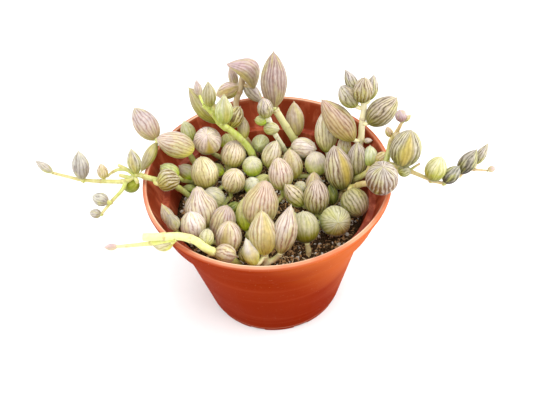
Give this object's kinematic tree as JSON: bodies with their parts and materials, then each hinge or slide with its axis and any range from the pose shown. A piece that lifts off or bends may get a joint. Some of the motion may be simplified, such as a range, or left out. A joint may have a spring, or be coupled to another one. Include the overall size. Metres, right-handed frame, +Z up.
{
  "type": "string of watermelons in a nursery pot",
  "caption": "Trailing succulent with plump, pointed, striped bead leaves on thin stems, heaped in and spilling over a small round plastic nursery pot filled with gritty soil.",
  "frame": {"origin": "centre of the pot's flat underside, where it stands on a table", "axes": "+Z up out of the pot, -Y towards the viewer of the picture, +X to that viewer's right, along the two trailing strands"},
  "size_m": [0.1613, 0.0931, 0.09],
  "materials": {
    "pot": "satin",
    "soil": "matte",
    "plant": "satin"
  },
  "bodies": {
    "root": {"pot": "pot", "soil": "soil", "strand_left_trailer": "plant", "strand_front_left_trailer": "plant", "strand_upper_left": "plant", "strand_back_left": "plant", "strand_back_hook": "plant", "strand_tall": "plant", "strand_bud": "plant", "strand_back": "plant", "strand_back_right": "plant", "strand_right_trailer": "plant", "strand_front_right": "plant", "strand_front_single": "plant", "strand_front": "plant", "strand_centre": "plant", "strand_left": "plant", "strand_left_wall": "plant", "strand_front_left": "plant"}
  },
  "joints": []
}
